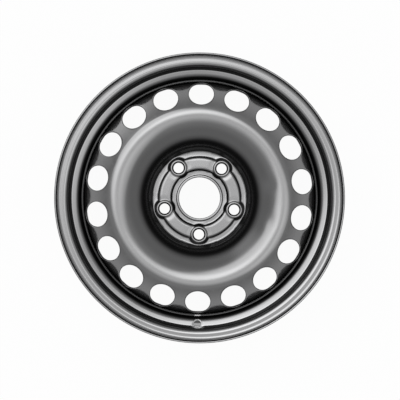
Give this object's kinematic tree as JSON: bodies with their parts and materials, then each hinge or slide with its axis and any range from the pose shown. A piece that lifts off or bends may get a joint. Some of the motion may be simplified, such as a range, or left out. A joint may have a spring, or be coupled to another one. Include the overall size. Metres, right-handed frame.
{
  "type": "steel wheel",
  "caption": "Road wheel of pressed steel: a rolled drop-centre rim with a welded-in disc that has a deep bowl, an embossed hub face with bolt seats and a ring of round vents.",
  "frame": {"origin": "on the wheel's axis in the plane of the hub mounting face, which is the back of the disc's hub", "axes": "+Z is the wheel's axis towards the street side; the valve hole is on the -Y side; the wheel lies flat on the inboard flange"},
  "size_m": [0.4406, 0.4405, 0.188],
  "materials": {
    "rim_paint": "satin-gloss dark grey dip paint",
    "disc_paint": "satin-gloss dark grey dip paint",
    "weld_paint": "the same dip paint over rippled weld metal"
  },
  "bodies": {
    "root": {"rim": "rim_paint", "disc": "disc_paint", "weld_beads": "weld_paint"}
  },
  "joints": []
}
